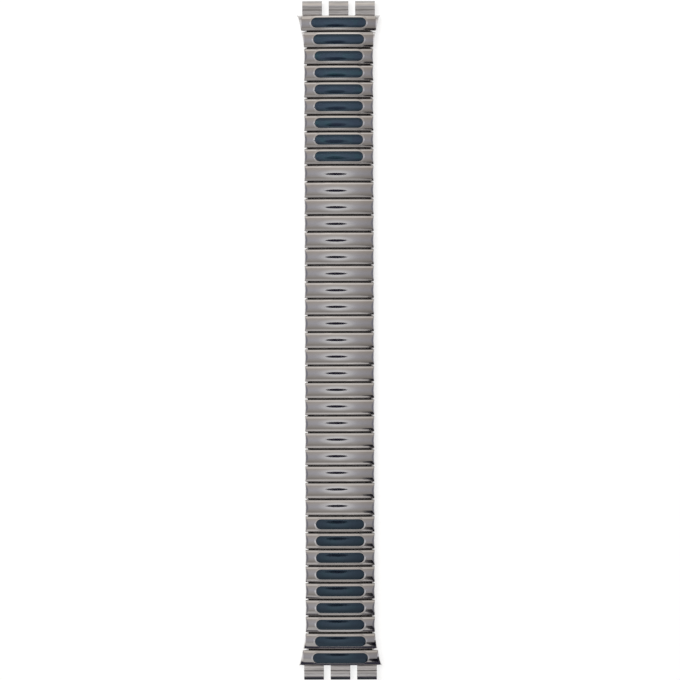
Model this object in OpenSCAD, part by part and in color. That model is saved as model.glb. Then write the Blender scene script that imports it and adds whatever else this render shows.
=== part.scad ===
// Steel expansion watch band with a three-lug end at each side of the watch.
// X runs across the band, Y along it, Z up from the wrist side to the caps.
// The origin lies under the middle link, on the plane that the band rests on.
// Two rows of flat sleeves, half a pitch out of step, are joined by U-shaped bows at both sides.

/* [Band] */
// Distance between neighbouring links
pitch = 3.91; // [3.7:0.01:4.3]
// Plain links in the middle of the band, an odd number
plain_count = 21; // [9:2:21]
// Enamelled links at each end, the end link included
enamel_count = 9; // [2:1:9]
// Gaps in the middle that are built to stretch, an even number
stretch_count = 20; // [4:2:20]

/* [Caps] */
// Width of a plain cap across the band
plain_w = 16.3; // [15.9:0.1:19]
// Width of the second cap along its outer edge
second_w = 17.4; // [16.3:0.1:19]
// Width of the end cap along its inner edge
end_inner_w = 17.6; // [17:0.1:19.5]
// Width of the end cap along its outer edge
end_outer_w = 19.3; // [18.6:0.1:21]
// Open gap between neighbouring caps
cap_gap = 0.3; // [0.2:0.01:0.5]
// Sheet thickness of a cap
cap_t = 0.2; // [0.15:0.01:0.25]
// Radius of the crown across the band
crown_r = 64; // [50:1:90]
// Radius of the crown along the band
arch_r = 5; // [4.5:0.1:9]
// Width of the bevel along each long edge
bevel_w = 0.5; // [0.35:0.01:0.65]
// Drop of the bevel along each long edge
bevel_drop = 0.36; // [0.25:0.01:0.42]
// Width of the ledge along an end cap's outer edge
ledge_w = 0.9; // [0.5:0.01:1]
// Width of the bevel at each side of the band
side_bevel_w = 0.7; // [0.5:0.01:0.9]
// Drop of the bevel at each side of the band
side_bevel_drop = 0.4; // [0.3:0.01:0.5]
// Radius of the hollow outline at each side of a cap
hollow_r = 16; // [12:0.5:40]
// Room under the crown above a sleeve
crown_play = 0.14; // [0.12:0.01:0.3]
// Width of a tab that holds the cap on its sleeve
tab_w = 1.8; // [1.2:0.1:2.4]
// Depth of a tab under the sleeve
tab_depth = 0.7; // [0.4:0.05:0.8]
// Thickness of a tab
tab_t = 0.15; // [0.1:0.01:0.2]
// Distance of the tabs from the middle of the cap
tab_x = 4.4; // [3:0.1:5.5]

/* [Enamel] */
// Length of the enamel on an inner link
enamel_l = 11.3; // [9:0.1:12.4]
// Length of the enamel on the second link
second_enamel_l = 11.9; // [9:0.1:13]
// Length of the enamel on the end link
end_enamel_l = 12.9; // [9:0.1:14]
// Width of the enamel along the band
enamel_w = 2.4; // [1.6:0.05:2.5]
// Width of the raised rim round the enamel
rim_w = 0.35; // [0.2:0.01:0.35]
// Height of the rim above the crown
rim_lift = 0.06; // [0.03:0.01:0.1]
// Depth of the enamel below the crown
enamel_depth = 0.06; // [0.03:0.01:0.08]

/* [Sleeves] */
// Length of a sleeve across the band
sleeve_w = 14; // [13:0.1:14.2]
// Sheet thickness of a sleeve
sleeve_t = 0.14; // [0.1:0.01:0.18]
// Open gap between neighbouring lower sleeves
lower_gap = 0.36; // [0.34:0.01:0.5]
// Play between the two rows, under the tabs
row_play = 0.2; // [0.18:0.01:0.4]
// Width of the seam where the rolled sheet meets
seam_w = 0.12; // [0.08:0.01:0.2]

/* [Bows and springs] */
// Width of the bow strip along the band
leg_w = 0.66; // [0.5:0.01:0.7]
// Thickness of the bow strip
leg_t = 0.28; // [0.22:0.01:0.32]
// Play of a leg against the sleeve and the spring
leg_play = 0.09; // [0.08:0.01:0.14]
// Length of the flattened part of a leg
paddle_l = 3.4; // [2.5:0.1:3.6]
// Diameter of the round neck of a leg
neck_d = 0.3; // [0.24:0.01:0.34]
// Distance of a bow from the end of its sleeves
bow_reach = 0.25; // [0.18:0.01:0.3]
// Inner radius of a bow's bends
bend_r = 0.12; // [0.06:0.01:0.16]
// Thickness of a leaf spring
spring_t = 0.1; // [0.06:0.01:0.14]
// Rise of a leaf spring from its ends to its middle
spring_rise = 0.14; // [0.08:0.01:0.2]
// Half the length of a leaf spring's raised middle
spring_middle = 2.2; // [1:0.1:2.4]

/* [Lugs] */
// Width over the three lugs
lug_set_w = 17; // [15:0.1:18]
// Width of one lug
lug_w = 4.6; // [3.5:0.1:4.8]
// Outer diameter of a rolled lug
lug_d = 2.6; // [2.3:0.05:2.6]
// Diameter of the pin bore in the lugs
pin_bore_d = 1.2; // [0.9:0.05:1.3]
// Reach of the lugs beyond the end cap
lug_reach = 3.4; // [3.2:0.1:5]
// Width of the seam where a lug's sheet meets its plate
lug_seam_w = 0.08; // [0.08:0.01:0.2]
// Step up of a lug's top just outside the end cap
lug_rise = 0.3; // [0.1:0.01:0.35]
// Height of the bracket plate's top above the foot of the upper sleeves
plate_rise = 0.58; // [0.4:0.01:0.6]
// Side clearance of a lug in its window in the end cap
lug_play = 0.05; // [0.03:0.01:0.1]

/* [Fit] */
// Clearance between pieces that are fixed together
fit = 0.02; // [0.01:0.01:0.03]

/* [Hidden] */
$fn = 64;
big = 30;
link_count = plain_count + 2 * enamel_count;
mid = (link_count + 1) / 2;
end_step = mid - 1;
first_fixed_step = stretch_count / 2;
cap_len = pitch - cap_gap;
upper_len = cap_len - 2 * (cap_t + fit);
lower_len = pitch - lower_gap;
bow_y = pitch / 4;

// heights, measured from the wrist side
sleeve_h = 2 * sleeve_t + 2 * leg_play + leg_t + spring_t + spring_rise + fit;
row_gap = tab_t + fit + row_play;
upper_z = sleeve_h + row_gap;
rows_h = upper_z + sleeve_h;
leg_z = sleeve_t + leg_play + leg_t / 2;
sleeve_r = 0.7 * bevel_w;
sleeve_in_r = max(sleeve_r - sleeve_t, 0.05);
crease_y = cap_len / 2 - bevel_w;
cap_top = rows_h + cap_t + crown_drop(sleeve_w / 2) + arch_drop(upper_len / 2 - sleeve_r) + crown_play;
edge_z = cap_top - arch_drop(crease_y) - bevel_drop;
bevel_tan = bevel_drop / bevel_w;
ledge_tan = (cap_top - edge_z - arch_drop(cap_len / 2 - ledge_w)) / ledge_w;
bow_in = sleeve_w / 2 + bow_reach;
bow_out = bow_in + leg_t;
bend_x = bow_in - bend_r;
paddle_out = bend_x - 0.95;
paddle_in = paddle_out - paddle_l;
notch_h = 0.45;

// end bracket, measured outward from the end link's middle
lug_sheet_t = (lug_d - pin_bore_d) / 2;
lug_y = cap_len / 2 + lug_reach - lug_d / 2;
lug_z = lug_d / 2;
plate_top = upper_z + plate_rise;
plate_z = plate_top - lug_sheet_t;
plate_y = 0.2;
seam_angle = 39;
slope_y = cap_len / 2 + fit + 0.9 * lug_rise;
slope_angle = asin(lug_d / 2 / norm([lug_y - slope_y, plate_top + lug_rise - lug_z]))
    - atan((plate_top + lug_rise - lug_z) / (lug_y - slope_y));
lug_step = (lug_set_w - lug_w) / 2;

function crown_drop(x) = crown_r - sqrt(crown_r * crown_r - x * x);
function arch_drop(y) = arch_r - sqrt(arch_r * arch_r - y * y);

// Link 1 is the end link at +Y; the middle link stands on the origin.
function link_y(i) = (mid - i) * pitch;
function step_of(i) = abs(mid - i);
function outer_w(i) =
    step_of(i) == end_step ? end_outer_w : step_of(i) == end_step - 1 ? second_w : plain_w;
function inner_w(i) = step_of(i) == end_step ? end_inner_w : plain_w;
function is_enamelled(i) = step_of(i) > end_step - enamel_count;
function enamel_length(i) =
    step_of(i) == end_step ? end_enamel_l : step_of(i) == end_step - 1 ? second_enamel_l : enamel_l;
function two_digits(i) = str(i < 10 ? "0" : "", i);
function link_name(i) = str(
    step_of(i) == end_step ? "end_link_" : is_enamelled(i) ? "enamel_link_" : "plain_link_",
    two_digits(i));
function expander_name(g) = str("expander_", two_digits(g));

first_gap = mid - stretch_count / 2;
last_gap = mid + stretch_count / 2 - 1;

// Rectangle with round corners, centred on Y and standing on the X axis
module rounded_rect(w, h, r) {
    translate([-w / 2 + r, 0]) square([w - 2 * r, h]);
    translate([-w / 2, r]) square([w, h - 2 * r]);
    for (x = [-w / 2 + r, w / 2 - r], y = [r, h - r])
        translate([x, y]) circle(r);
}

// Turns a profile drawn in Y and Z into a bar of the given length across the band
module across(length) {
    rotate([90, 0, 90]) linear_extrude(length, center = true) children();
}

// Turns a profile drawn in X and Z into a strip of the given width along the band
module along(width) {
    rotate([90, 0, 0]) linear_extrude(width, center = true) children();
}

// Radius at which a bevel of the given slope ends, once moved inward by inset
function edge_r(inset, slope) = crown_r - cap_top + edge_z + inset * (slope - norm([1, slope]));

// Solid under the crowned top of a cap, moved inward by inset; an end cap has a ledge at +Y
module crown(inset, bevelled = true, is_end = false) {
    half = cap_len / 2 - inset;
    outer_tan = is_end ? ledge_tan : bevel_tan;
    inner_r = edge_r(inset, bevel_tan);
    outer_r = edge_r(inset, outer_tan);
    foot_r = crown_r - cap_top;
    angle = 2 * asin((end_outer_w / 2 + 1) / foot_r);
    translate([0, 0, cap_top - crown_r]) rotate([-90, 0, 0]) rotate([0, 0, -90 - angle / 2])
        rotate_extrude(angle = angle) intersection() {
            translate([crown_r - arch_r, 0]) circle(arch_r - inset);
            if (bevelled)
                polygon([
                    [foot_r, -half], [inner_r, -half], [inner_r + half * bevel_tan, 0],
                    [outer_r + half * outer_tan, 0], [outer_r, half], [foot_r, half]]);
            else
                translate([foot_r, -half]) square([cap_top + 1, 2 * half]);
        }
}

// What is cut away beyond the two sides of a cap: the hollow outline and the side bevel
module side_cuts(inset, w_out, w_in) {
    mid_x = (w_out + w_in) / 4;
    taper = atan((w_out - w_in) / 2 / cap_len);
    reach = sqrt(hollow_r * hollow_r - cap_len * cap_len / 4);
    side_z = cap_top - crown_drop(mid_x - side_bevel_w) - side_bevel_drop;
    tilt = atan(side_bevel_drop / side_bevel_w);
    for (s = [-1, 1])
        translate([s * mid_x, 0, 0]) rotate([0, 0, -s * taper]) {
            translate([s * reach, 0, -1]) cylinder(r = hollow_r + inset, h = cap_top + 2);
            translate([0, 0, side_z]) rotate([0, s * tilt, 0])
                translate([-3, -4, -inset]) cube([6, 8, 4]);
        }
}

module cap_form(inset, w_out, w_in, is_end = false) {
    difference() {
        intersection() {
            crown(inset, true, is_end);
            translate([-big / 2, -big / 2, upper_z - (inset > 0 ? 1 : 0)]) cube(big);
        }
        side_cuts(inset, w_out, w_in);
    }
}

module stadium(length, width, low, high) {
    translate([0, 0, low]) linear_extrude(high - low) {
        square([length - width, width], center = true);
        for (s = [-1, 1])
            translate([s * (length - width) / 2, 0]) circle(width / 2);
    }
}

// Room for the bows to lean out of a cap while the band stretches
module bow_notches(sides) {
    notch_x = sleeve_w / 2 - fit;
    for (s = [-1, 1], y = sides)
        translate([s * (notch_x + bow_out + 0.1) / 2, y * cap_len / 2, upper_z])
            cube([bow_out + 0.1 - notch_x, 4 * cap_t, 2 * notch_h], center = true);
}

// Tab at the +Y flange, folded inward under what stands on the height z
module tab(x, width, z) {
    translate([x - width / 2, cap_len / 2 - cap_t - tab_depth, z - fit - tab_t])
        cube([width, cap_t + tab_depth, tab_t]);
    translate([x - width / 2, cap_len / 2 - cap_t, z - fit - tab_t])
        cube([width, cap_t, tab_t + 0.3]);
}

// Four tabs folded under the upper sleeve, or two on the inner side of an end link
module tabs(sides) {
    for (x = [-tab_x, tab_x], y = sides)
        mirror([0, y > 0 ? 0 : 1, 0]) tab(x, tab_w, upper_z);
}

// Windows for the lugs in the outer flange of an end cap
module lug_windows() {
    for (k = [-1, 0, 1])
        translate([k * lug_step - lug_w / 2 - lug_play, cap_len / 2 - 2 * cap_t, upper_z - 1])
            cube([lug_w + 2 * lug_play, 3 * cap_t, plate_top + fit - upper_z + 1]);
}

// Two tabs that pass between the lugs and fold under the bracket plate
module bracket_tabs() {
    for (x = [-lug_step / 2, lug_step / 2])
        tab(x, lug_step - lug_w - 2 * lug_play, plate_z);
}

module cap(i) {
    w_out = outer_w(i);
    w_in = inner_w(i);
    is_end = step_of(i) == end_step;
    enamelled = is_enamelled(i);
    length = enamel_length(i);
    color([0.66, 0.64, 0.62]) difference() {
        union() {
            difference() {
                cap_form(0, w_out, w_in, is_end);
                cap_form(cap_t, w_out, w_in, is_end);
                bow_notches(is_end ? [-1] : [-1, 1]);
                if (is_end) lug_windows();
            }
            tabs(is_end ? [-1] : [-1, 1]);
            if (is_end) bracket_tabs();
            if (enamelled)
                intersection() {
                    crown(-rim_lift, false);
                    difference() {
                        stadium(length + 2 * rim_w, enamel_w + 2 * rim_w, rows_h, cap_top + 1);
                        cap_form(cap_t, w_out, w_in, is_end);
                    }
                }
        }
        if (enamelled)
            difference() {
                stadium(length, enamel_w, rows_h, cap_top + 1);
                crown(enamel_depth + fit, false);
            }
    }
}

module enamel(i) {
    color([0.17, 0.27, 0.34]) difference() {
        intersection() {
            stadium(enamel_length(i) - 2 * fit, enamel_w - 2 * fit, rows_h, cap_top + 1);
            crown(-rim_lift / 2, false);
        }
        crown(enamel_depth, false);
    }
}

// Flat rolled tube, open at both sides of the band, standing on z = 0 with its seam on top
module sleeve(length) {
    color([0.6, 0.59, 0.57]) across(sleeve_w) difference() {
        rounded_rect(length, sleeve_h, sleeve_r);
        translate([0, sleeve_t]) rounded_rect(length - 2 * sleeve_t, sleeve_h - 2 * sleeve_t, sleeve_in_r);
        translate([-seam_w / 2, sleeve_h - 2 * sleeve_t]) square([seam_w, 3 * sleeve_t]);
    }
}

// Cranked strip whose ends press the legs and whose raised middle bears on the sleeve
module leaf_spring(length) {
    width = length - 2 * sleeve_r - 2 * fit;
    low = leg_z + leg_t / 2 + leg_play;
    high = low + spring_rise;
    ramp = spring_middle + 0.9;
    tip = paddle_out - 0.1;
    color([0.52, 0.51, 0.5]) along(width) polygon([
        [-tip, low], [-ramp, low], [-spring_middle, high], [spring_middle, high],
        [ramp, low], [tip, low], [tip, low + spring_t], [ramp, low + spring_t],
        [spring_middle, high + spring_t], [-spring_middle, high + spring_t],
        [-ramp, low + spring_t], [-tip, low + spring_t]]);
}

// U-shaped bow at the +X side: a bent strip, two round necks and two flattened legs
module bow() {
    outer_h = rows_h - 2 * leg_z + leg_t;
    outer_r = bend_r + leg_t;
    color([0.56, 0.55, 0.53]) {
        along(leg_w) intersection() {
            translate([bow_out - 2, leg_z - leg_t / 2]) difference() {
                rounded_rect(4, outer_h, outer_r);
                translate([0, leg_t]) rounded_rect(4 - 2 * leg_t, outer_h - 2 * leg_t, bend_r);
            }
            translate([bend_x, 0]) square([2, rows_h]);
        }
        for (z = [leg_z, rows_h - leg_z]) {
            translate([paddle_out - 0.1, 0, z]) rotate([0, 90, 0])
                cylinder(d = neck_d, h = bend_x - paddle_out + 0.2);
            translate([paddle_in, -leg_w / 2, z - leg_t / 2]) cube([paddle_l, leg_w, leg_t]);
        }
    }
}

// Everything of one lower sleeve: the sleeve, its spring and the four bows that carry it
module lower_unit() {
    sleeve(lower_len);
    leaf_spring(lower_len);
    for (s = [0, 1], y = [-bow_y, bow_y])
        translate([0, y, 0]) mirror([s, 0, 0]) bow();
}

// Sleeve and spring under a cap, the lower ones turned over; an end link's reaches half way
module upper_unit(length, y) {
    translate([0, y, rows_h]) mirror([0, 0, 1]) {
        sleeve(length);
        leaf_spring(length);
    }
}

// Top of a lug from the end cap's wall: a short step up, then a slope that runs into the roll
module lug_slope() {
    touch_y = lug_y - lug_d / 2 * sin(slope_angle);
    polygon([
        [cap_len / 2 + fit, plate_z], [cap_len / 2 + fit, plate_top], [slope_y, plate_top + lug_rise],
        [touch_y, lug_z + lug_d / 2 * cos(slope_angle)], [touch_y, plate_z]]);
}

// Plate under the end cap with three lugs rolled from it, each with its seam on top
module end_bracket() {
    color([0.64, 0.62, 0.6]) difference() {
        union() {
            translate([-lug_set_w / 2, plate_y, plate_z])
                cube([lug_set_w, cap_len / 2 - 2 * cap_t - plate_y, lug_sheet_t]);
            for (k = [-1, 0, 1])
                translate([k * lug_step, 0, 0]) across(lug_w) difference() {
                    union() {
                        translate([plate_y, plate_z]) square([lug_y - plate_y - pin_bore_d / 2, lug_sheet_t]);
                        translate([lug_y, lug_z]) circle(d = lug_d);
                        lug_slope();
                    }
                    translate([lug_y, lug_z]) rotate(seam_angle)
                        translate([-lug_seam_w / 2, 0]) square([lug_seam_w, lug_d]);
                }
        }
        translate([0, lug_y, lug_z]) rotate([0, 90, 0])
            cylinder(d = pin_bore_d, h = lug_set_w + 2, center = true);
    }
}

module link(i) {
    is_end = step_of(i) == end_step;
    half_len = upper_len / 2 + plate_y - 0.05;
    carries_lower = step_of(i) >= first_fixed_step && !is_end;
    translate([0, link_y(i), 0]) mirror([0, i > mid ? 1 : 0, 0]) {
        cap(i);
        if (is_enamelled(i)) enamel(i);
        if (is_end) {
            upper_unit(half_len, (half_len - upper_len) / 2);
            end_bracket();
        } else
            upper_unit(upper_len, 0);
        if (carries_lower) translate([0, pitch / 2, 0]) lower_unit();
    }
}

module expander(g) {
    translate([0, link_y(g) - pitch / 2, 0]) lower_unit();
}

for (i = [1:link_count])
    link(i);
for (g = [first_gap:last_gap])
    expander(g);
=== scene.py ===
import math
from collections import namedtuple

import bmesh
import bpy
from mathutils import Matrix, Vector


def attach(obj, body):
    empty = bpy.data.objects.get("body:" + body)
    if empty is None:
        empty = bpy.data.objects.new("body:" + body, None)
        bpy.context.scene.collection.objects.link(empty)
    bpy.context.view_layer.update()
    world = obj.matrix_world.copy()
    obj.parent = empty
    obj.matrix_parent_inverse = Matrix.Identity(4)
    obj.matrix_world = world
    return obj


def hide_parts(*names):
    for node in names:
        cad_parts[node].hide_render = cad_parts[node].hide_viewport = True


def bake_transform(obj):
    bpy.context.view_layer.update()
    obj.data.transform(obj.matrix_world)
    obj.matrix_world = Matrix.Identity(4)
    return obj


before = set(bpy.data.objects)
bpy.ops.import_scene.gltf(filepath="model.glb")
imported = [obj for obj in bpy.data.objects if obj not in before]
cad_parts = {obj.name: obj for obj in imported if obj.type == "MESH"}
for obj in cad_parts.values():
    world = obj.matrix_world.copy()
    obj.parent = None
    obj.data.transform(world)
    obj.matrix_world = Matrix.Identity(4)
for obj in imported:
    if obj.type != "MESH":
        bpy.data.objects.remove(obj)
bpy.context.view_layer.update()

# Lengths are in millimetres until a mesh is finished; the scene itself is in metres.
MM = 0.001

# Band
PITCH = 3.91
LINKS = 39
MIDDLE = 20
ENAMELLED = 9
FIRST_STRETCH_GAP = 10
LAST_STRETCH_GAP = 29

# Caps
PLAIN_W = 16.3
SECOND_W = 17.4
END_INNER_W = 17.6
END_OUTER_W = 19.3
CAP_LEN = 3.61
HALF_LEN = CAP_LEN / 2
SHEET_T = 0.2
CROWN_R = 64
ARCH_R = 5
BEVEL_W = 0.5
BEVEL_DROP = 0.36
SECOND_LEDGE_W = 0.7
END_LEDGE_W = 0.9
SIDE_BEVEL_W = 0.7
SIDE_BEVEL_DROP = 0.4
SIDE_BEVEL_BEND = 0.28
FLARE_CREASE_IN = 0.15
FLARE_SLOPE = 0.62
HOLLOW_R = 16
CREASE_Y = HALF_LEN - BEVEL_W
EDGE_ROUND = 0.17
END_EDGE_ROUND = 0.4
CREASE_ROUND = 0.045
CORNER_ROUND = 0.085
TAB_W = 1.8
TAB_X = 4.4
TAB_DEPTH = 0.7
TAB_T = 0.15
NOTCH_H = 0.45
FIT = 0.02
SHEET_DROP = 1.15 * SHEET_T
TAB_BEND = 0.12
TAB_ROOT = 0.05
TAB_EDGE_OUT = 0.05
TAB_EDGE_IN = 0.03
NOTCH_SPARE = 0.1
CUT_PAST = 0.3
LUG_SLOT_LOW = 0.5
SEARCH_W = 2

# Edges of a cap: from which turn they are rounded, and how near counts as on a wall or on the top
LEAST_CREASE_ANGLE = 9
WALL_LEAN = 0.1
WALL_SLACK = 1e-3
SKIN_SLACK = 0.04
FOOT_H = 0.1

# Enamel
ENAMEL_L = 11.3
SECOND_ENAMEL_L = 11.9
END_ENAMEL_L = 12.9
ENAMEL_W = 2.4
DOME_R = 6.8
POCKET_DEPTH = 0.13
POCKET_PLAY = 0.01
POCKET_INSETS = (0.0, 0.2, 0.45, 0.75, 1.0)
KEEL_SHARE = 0.5
# Each point: how far in from the enamel's edge, and how high over the dome
ENAMEL_SECTION = [(0.0, -0.1), (0.0, -0.032), (0.02, -0.014), (0.06, 0.0), (0.12, 0.008), (0.25, 0.012),
                  (0.45, 0.014), (0.7, 0.015), (0.95, 0.015)]
# Each point: how far out from the enamel's edge, and how high over the crown there
RIM_SECTION = [(0.0, -0.1), (0.0, 0.004), (0.015, 0.016), (0.04, 0.02), (0.35, 0.02), (0.385, 0.012),
               (0.4, -0.006), (0.41, -0.05), (0.415, -0.14), (0.418, -0.45)]
RIM_END_FADE = 0.5

# Sleeves, bows and springs
SLEEVE_W = 14
SLEEVE_T = 0.14
SLEEVE_H = 1.0
SLEEVE_R = 0.35
SEAM_W = 0.12
LIP_OUT = 7.48
LIP_W = 1.0
LIP_R = 0.12
UPPER_LEN = 3.17
LOWER_LEN = 3.55
UPPER_Z = 1.37
ROWS_H = 2.37
CAP_TOP = 3.2494
LEG_LOW = 0.37
LEG_HIGH = 2.0
BOW_Y = 0.9775
LEG_W = 0.66
LEG_T = 0.28
NECK_D = 0.3
PADDLE_IN = 2.78
PADDLE_OUT = 6.18
BEND_X = 7.13
BEND_MID_R = 0.26
BOW_OUT = 7.53
SPRING_T = 0.1
SPRING_RISE = 0.14
SPRING_MIDDLE = 2.2
SPRING_LOW = 0.6
SPRING_RAMP = 0.9
SPRING_SHORT = 0.1
SPRING_ROUND = 0.03
CRANK = 0.15
CRANK_MID = 0.004
CRANK_END = 0.023
LEAST_SLEEVE_R = 0.05
SLEEVE_ROUND = 0.03
LIP_ROOT = 0.15
LIP_LOW = SLEEVE_H - SLEEVE_T + 0.02
LIP_HIGH = SLEEVE_H - 0.01
HALF_SLEEVE_PLAY = 0.05
BEND_STEPS = 8

# End bracket, outward from the end link's middle
LUG_SET_W = 17
LUG_W = 4.6
LUG_R = 1.3
PIN_R = 0.6
LUG_Y = 3.905
LUG_Z = 1.3
LUG_STEP = 6.2
PLATE_Y = 0.2
PLATE_LOW = 1.25
PLATE_TOP = 1.95
STEP_Y = 1.83
SLOPE_Y = 1.95
SLOPE_Z = 2.2
LUG_SEAM_Y = 2.985
LUG_SEAM_W = 0.08
LUG_PLAY = 0.05
LUG_ROOT = 0.3
LUG_ROUND = 0.07
PLATE_ROUND = 0.04
SLOPE_FOOT = 0.05
# Each point of the seam's edge: how far out from the seam, and how high over the slope
SEAM_EDGE = [(0.05, 0.0), (0.015, -0.005), (0.0, -0.03)]


# Shapes of a cap: a form is its widths on the outer and the inner side, and the ledge along the outer edge

Form = namedtuple("Form", "w_out w_in ledge")
PLAIN_FORM = Form(PLAIN_W, PLAIN_W, BEVEL_W)
SECOND_FORM = Form(SECOND_W, PLAIN_W, SECOND_LEDGE_W)
END_FORM = Form(END_OUTER_W, END_INNER_W, END_LEDGE_W)


def arch_drop(y):
    """How far the crown has fallen from its middle line to y."""
    return ARCH_R - math.sqrt(ARCH_R ** 2 - y ** 2)


def arch_z(x, y):
    """Height of the crown without its long bevels."""
    return CAP_TOP - CROWN_R + math.sqrt((CROWN_R - arch_drop(y)) ** 2 - x ** 2)


def crown_z(x, y, ledge):
    """Height of the crown with the bevels along both long edges; on the +Y side it may be a wide ledge."""
    width = ledge if y > 0 else BEVEL_W
    crease = HALF_LEN - width
    inside = min(abs(y), crease)
    slope = (arch_drop(CREASE_Y) + BEVEL_DROP - arch_drop(crease)) / width
    drop = arch_drop(inside) + (abs(y) - inside) * slope
    return CAP_TOP - CROWN_R + math.sqrt((CROWN_R - drop) ** 2 - x ** 2)


def side_place(form):
    """Where the side bevel of a cap stands, and how far the side turns outward."""
    return (form.w_out + form.w_in) / 4, math.atan((form.w_out - form.w_in) / 2 / CAP_LEN)


def side_x(y, form):
    """Half width of a cap at y, on the hollow outline of its side."""
    mid_x, taper = side_place(form)
    reach = math.sqrt(HOLLOW_R ** 2 - CAP_LEN ** 2 / 4)
    local_x, local_y = 0.0, y
    for _ in range(6):
        local_x = reach - math.sqrt(HOLLOW_R ** 2 - local_y ** 2)
        local_y = (y + local_x * math.sin(taper)) / math.cos(taper)
    return mid_x + local_x * math.cos(taper) + local_y * math.sin(taper)


def side_bevel_z(x, y, form):
    """Height of the side bevel, a little steeper on its way out; a flared cap has a flat facet instead."""
    if form.w_out > form.w_in:
        return crown_z(x, y, form.ledge) - FLARE_SLOPE * (abs(x) - form.w_in / 2 + FLARE_CREASE_IN)
    mid_x, taper = side_place(form)
    crown_drop = CROWN_R - math.sqrt(CROWN_R ** 2 - (mid_x - SIDE_BEVEL_W) ** 2)
    side_z = CAP_TOP - crown_drop - SIDE_BEVEL_DROP
    local_x = (abs(x) - mid_x) * math.cos(taper) - y * math.sin(taper)
    share = 1 + local_x / SIDE_BEVEL_W
    straight_part = 1 - (1 - SIDE_BEVEL_BEND) * share
    return side_z + SIDE_BEVEL_DROP * (straight_part - SIDE_BEVEL_BEND * share * abs(share))


def halved(low, high, is_low):
    """The place between low and high where is_low stops being true."""
    for _ in range(40):
        middle = (low + high) / 2
        if is_low(middle):
            low = middle
        else:
            high = middle
    return (low + high) / 2


def side_crease_x(y, form):
    """Where the crown meets the side bevel; at the long edges that is the side itself."""
    out = side_x(y, form)

    def on_crown(x):
        return crown_z(x, y, form.ledge) < side_bevel_z(x, y, form)

    return out if on_crown(out) else halved(out - SEARCH_W, out, on_crown)


def bevel_end_y(side, form):
    """How far along the band the side bevel runs before the long bevel swallows it."""
    def has_side_bevel(y):
        x = side_x(side * y, form)
        return crown_z(x, side * y, form.ledge) > side_bevel_z(x, side * y, form)

    return side * halved(CREASE_Y, HALF_LEN, has_side_bevel)


def cap_z(x, y, form):
    return min(crown_z(x, y, form.ledge), side_bevel_z(x, y, form))


# Mesh tools

TOUCHING = 1e-4
NO_LENGTH = 1e-5


def add_loop(bm, points):
    return [bm.verts.new(p) for p in points]


def bridge(bm, first, second):
    """Faces between two closed loops of as many points."""
    count = len(first)
    for k in range(count):
        n = (k + 1) % count
        bm.faces.new((first[k], first[n], second[n], second[k]))


def skin(bm, loops, caps=True):
    """A tube through closed loops of points, closed at both ends."""
    rings = [add_loop(bm, points) for points in loops]
    for first, second in zip(rings, rings[1:]):
        bridge(bm, first, second)
    if caps:
        bm.faces.new(list(reversed(rings[0])))
        bm.faces.new(rings[-1])
    return rings


def ring_band(bm, loops):
    """A closed ring through loops of points, the last joined to the first."""
    rings = [add_loop(bm, points) for points in loops]
    for k, first in enumerate(rings):
        bridge(bm, first, rings[(k + 1) % len(rings)])


def add_box(bm, low, high):
    corners = [(low[0], low[1]), (high[0], low[1]), (high[0], high[1]), (low[0], high[1])]
    skin(bm, [[(x, y, z) for x, y in corners] for z in (low[2], high[2])])


def face_outward(bm):
    bmesh.ops.recalc_face_normals(bm, faces=bm.faces)


def tidy(bm):
    """Closes seams between touching points, drops what has no size and turns the faces outward."""
    bmesh.ops.remove_doubles(bm, verts=bm.verts, dist=TOUCHING)
    bmesh.ops.dissolve_degenerate(bm, edges=bm.edges, dist=NO_LENGTH)
    face_outward(bm)


def round_edges(bm, width, segments, wanted, least_angle=40):
    """Rounds the edges that turn by more than least_angle and that wanted() picks."""
    least = math.radians(least_angle)
    edges = [e for e in bm.edges
             if len(e.link_faces) == 2 and e.calc_face_angle(0) > least and wanted(e)]
    bmesh.ops.bevel(bm, geom=edges, offset=width, offset_type="OFFSET", segments=segments,
                    profile=0.5, affect="EDGES", clamp_overlap=False)


def add_object(name, data):
    made = bpy.data.objects.new(name, data)
    bpy.context.scene.collection.objects.link(made)
    return made


def to_object(bm, name):
    mesh = bpy.data.meshes.new(name)
    bm.to_mesh(mesh)
    bm.free()
    return add_object(name, mesh)


def cut_or_join(base, tool, operation):
    """Cuts the tool out of the base object, or joins both into one skin."""
    step = base.modifiers.new("step", "BOOLEAN")
    step.operation = operation
    step.solver = "EXACT"
    step.object = tool


def soften(made, width):
    """Rounds the edges that carry a bevel weight, by that share of the width."""
    rounding = made.modifiers.new("rounding", "BEVEL")
    rounding.limit_method = "WEIGHT"
    rounding.width = width
    rounding.segments = 4
    rounding.use_clamp_overlap = False
    rounding.profile = 0.5


def applied(made):
    """A new mesh of an object, with its modifiers applied."""
    shown = made.evaluated_get(bpy.context.evaluated_depsgraph_get())
    return bpy.data.meshes.new_from_object(shown)


def mesh_of(base, cuts=None, joins=None, sharp_angle=38):
    """Applies the cuts and joins to a base object and returns its finished mesh."""
    for tool, operation in ((joins, "UNION"), (cuts, "DIFFERENCE")):
        if tool is not None:
            cut_or_join(base, tool, operation)
    mesh = applied(base)
    for tool in (base, cuts, joins):
        if tool is not None:
            bpy.data.objects.remove(tool)
    bm = bmesh.new()
    bm.from_mesh(mesh)
    bmesh.ops.remove_doubles(bm, verts=bm.verts, dist=TOUCHING)
    limit = math.radians(sharp_angle)
    for edge in bm.edges:
        edge.smooth = len(edge.link_faces) == 2 and edge.calc_face_angle(0) < limit
    for face in bm.faces:
        face.smooth = True
    bm.to_mesh(mesh)
    bm.free()
    holder = add_object("holder", mesh)
    weigh = holder.modifiers.new("even_shade", "WEIGHTED_NORMAL")
    weigh.keep_sharp = True
    done = applied(holder)
    done.transform(Matrix.Scale(MM, 4))
    bpy.data.objects.remove(holder)
    return done


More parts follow.
